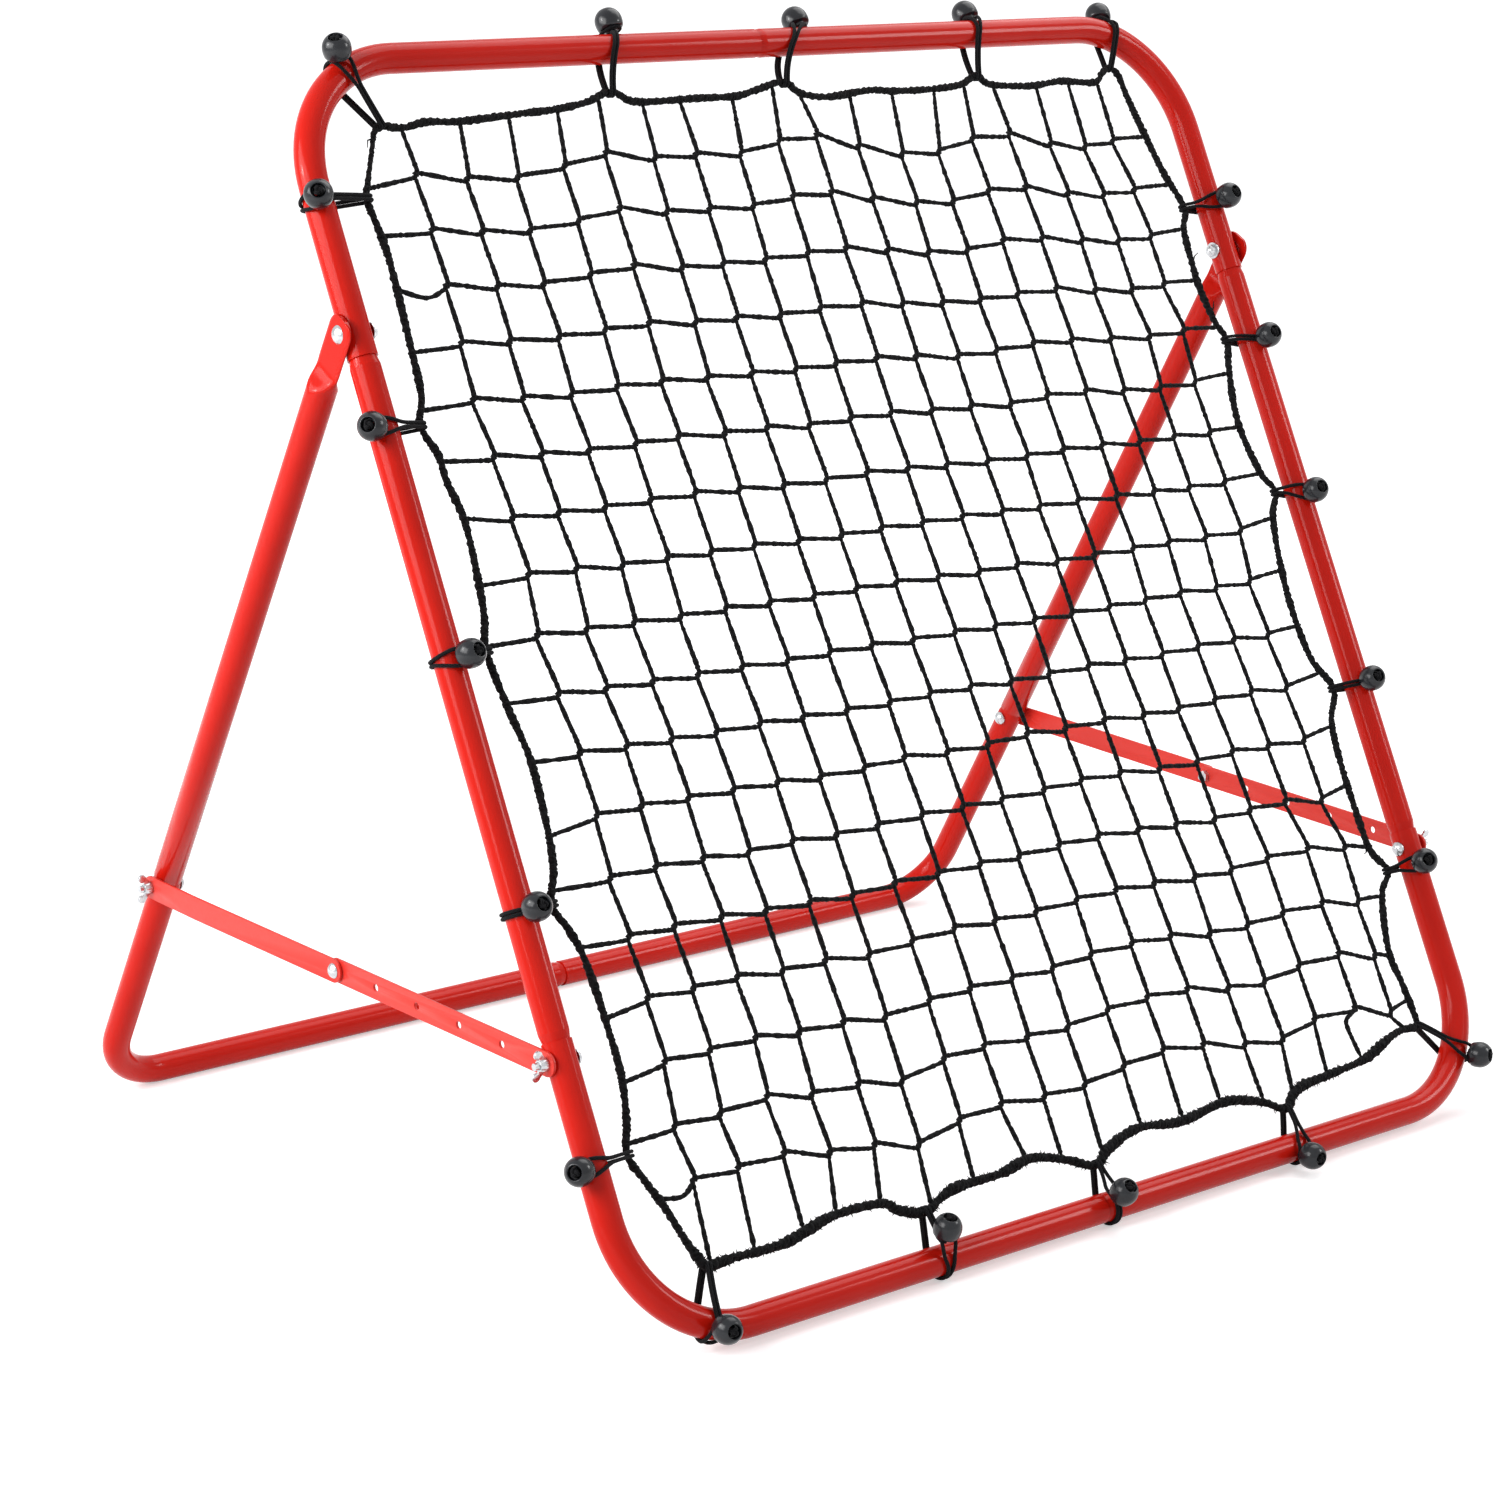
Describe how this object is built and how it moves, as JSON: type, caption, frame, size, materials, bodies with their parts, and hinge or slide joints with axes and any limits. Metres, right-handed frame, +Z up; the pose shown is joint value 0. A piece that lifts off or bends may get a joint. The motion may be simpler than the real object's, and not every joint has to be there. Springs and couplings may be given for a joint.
{
  "type": "pitch back rebounder",
  "caption": "Folding ball rebounder: a leaning tube frame holds a knotted net on ball-ended elastic ties, propped by a hinged rear stand and two jointed side stays.",
  "frame": {"origin": "on the ground under the middle of the whole rebounder", "axes": "+X across to the right of someone facing the net, +Y to the rear, +Z up; the net faces -Y"},
  "size_m": [1.06, 0.8213, 0.9731],
  "materials": {
    "frame_paint": "gloss",
    "stay_paint": "satin",
    "zinc_hardware": "bright zinc plate",
    "net_cord": "twisted cord",
    "elastic_cord": "woven elastic cord",
    "tie_ball": "semi-gloss"
  },
  "bodies": {
    "front_frame": {"top_left_tube": "frame_paint", "top_right_tube": "frame_paint", "left_side_tube": "frame_paint", "right_side_tube": "frame_paint", "bottom_left_tube": "frame_paint", "bottom_right_tube": "frame_paint", "pivot_bolt_left": "zinc_hardware", "pivot_bolt_right": "zinc_hardware", "pivot_nut_left": "zinc_hardware", "pivot_nut_right": "zinc_hardware", "stay_front_bolt_left": "zinc_hardware", "stay_front_bolt_right": "zinc_hardware", "pivot_washers": "zinc_hardware", "stay_front_washers": "zinc_hardware", "net_mesh": "net_cord", "net_edge_rope": "net_cord", "elastic_top": "elastic_cord", "elastic_left": "elastic_cord", "elastic_right": "elastic_cord", "elastic_bottom": "elastic_cord", "ball_top_1": "tie_ball", "ball_top_2": "tie_ball", "ball_top_3": "tie_ball", "ball_top_4": "tie_ball", "ball_top_5": "tie_ball", "ball_left_1": "tie_ball", "ball_left_2": "tie_ball", "ball_left_3": "tie_ball", "ball_left_4": "tie_ball", "ball_left_5": "tie_ball", "ball_right_1": "tie_ball", "ball_right_2": "tie_ball", "ball_right_3": "tie_ball", "ball_right_4": "tie_ball", "ball_right_5": "tie_ball", "ball_bottom_1": "tie_ball", "ball_bottom_2": "tie_ball", "ball_bottom_3": "tie_ball", "ball_bottom_4": "tie_ball", "ball_bottom_5": "tie_ball"},
    "rear_stand": {"upper_leg_left": "frame_paint", "upper_leg_right": "frame_paint", "stand_corner_left": "frame_paint", "stand_corner_right": "frame_paint", "stay_rear_bolt_left": "zinc_hardware", "stay_rear_bolt_right": "zinc_hardware", "stay_rear_washers": "zinc_hardware"},
    "stay_front_left": {"stay_front_left": "stay_paint", "stay_mid_nut_left": "zinc_hardware"},
    "stay_rear_left": {"stay_rear_left": "stay_paint", "stay_mid_bolt_left": "zinc_hardware"},
    "wing_nut_front_left": {"wing_nut_front_left": "zinc_hardware"},
    "wing_nut_rear_left": {"wing_nut_rear_left": "zinc_hardware"},
    "stay_front_right": {"stay_front_right": "stay_paint", "stay_mid_nut_right": "zinc_hardware"},
    "stay_rear_right": {"stay_rear_right": "stay_paint", "stay_mid_bolt_right": "zinc_hardware"},
    "wing_nut_front_right": {"wing_nut_front_right": "zinc_hardware"},
    "wing_nut_rear_right": {"wing_nut_rear_right": "zinc_hardware"}
  },
  "joints": [
    {"name": "stand_fold", "type": "hinge", "parent": "front_frame", "child": "rear_stand", "pos_m": [0, 0.00408, 0.7396], "axis": [1, 0, 0], "range_deg": [-31, 0]},
    {"name": "stay_front_fold_left", "type": "hinge", "parent": "front_frame", "child": "stay_front_left", "pos_m": [-0.5013, -0.2665, 0.21981], "axis": [1, 0, 0], "range_deg": [0, 50]},
    {"name": "stay_rear_fold_left", "type": "hinge", "parent": "rear_stand", "child": "stay_rear_left", "pos_m": [-0.5167, 0.28233, 0.22615], "axis": [1, 0, 0], "range_deg": [-50, 0]},
    {"name": "wing_nut_front_turn_left", "type": "hinge", "parent": "front_frame", "child": "wing_nut_front_left", "pos_m": [-0.5061, -0.2665, 0.21981], "axis": [-1, 0, 0], "continuous": true},
    {"name": "wing_nut_rear_turn_left", "type": "hinge", "parent": "rear_stand", "child": "wing_nut_rear_left", "pos_m": [-0.5215, 0.28233, 0.22615], "axis": [-1, 0, 0], "continuous": true},
    {"name": "stay_front_fold_right", "type": "hinge", "parent": "front_frame", "child": "stay_front_right", "pos_m": [0.5013, -0.2665, 0.21981], "axis": [1, 0, 0], "range_deg": [0, 50]},
    {"name": "stay_rear_fold_right", "type": "hinge", "parent": "rear_stand", "child": "stay_rear_right", "pos_m": [0.5167, 0.28233, 0.22615], "axis": [1, 0, 0], "range_deg": [-50, 0]},
    {"name": "wing_nut_front_turn_right", "type": "hinge", "parent": "front_frame", "child": "wing_nut_front_right", "pos_m": [0.5061, -0.2665, 0.21981], "axis": [1, 0, 0], "continuous": true},
    {"name": "wing_nut_rear_turn_right", "type": "hinge", "parent": "rear_stand", "child": "wing_nut_rear_right", "pos_m": [0.5215, 0.28233, 0.22615], "axis": [1, 0, 0], "continuous": true}
  ],
  "couplings": [
    {"joint": "stay_front_fold_left", "follows": "stand_fold", "ratio": -1.527},
    {"joint": "stay_rear_fold_left", "follows": "stand_fold", "ratio": 1.5103},
    {"joint": "stay_front_fold_right", "follows": "stand_fold", "ratio": -1.527},
    {"joint": "stay_rear_fold_right", "follows": "stand_fold", "ratio": 1.5103}
  ]
}
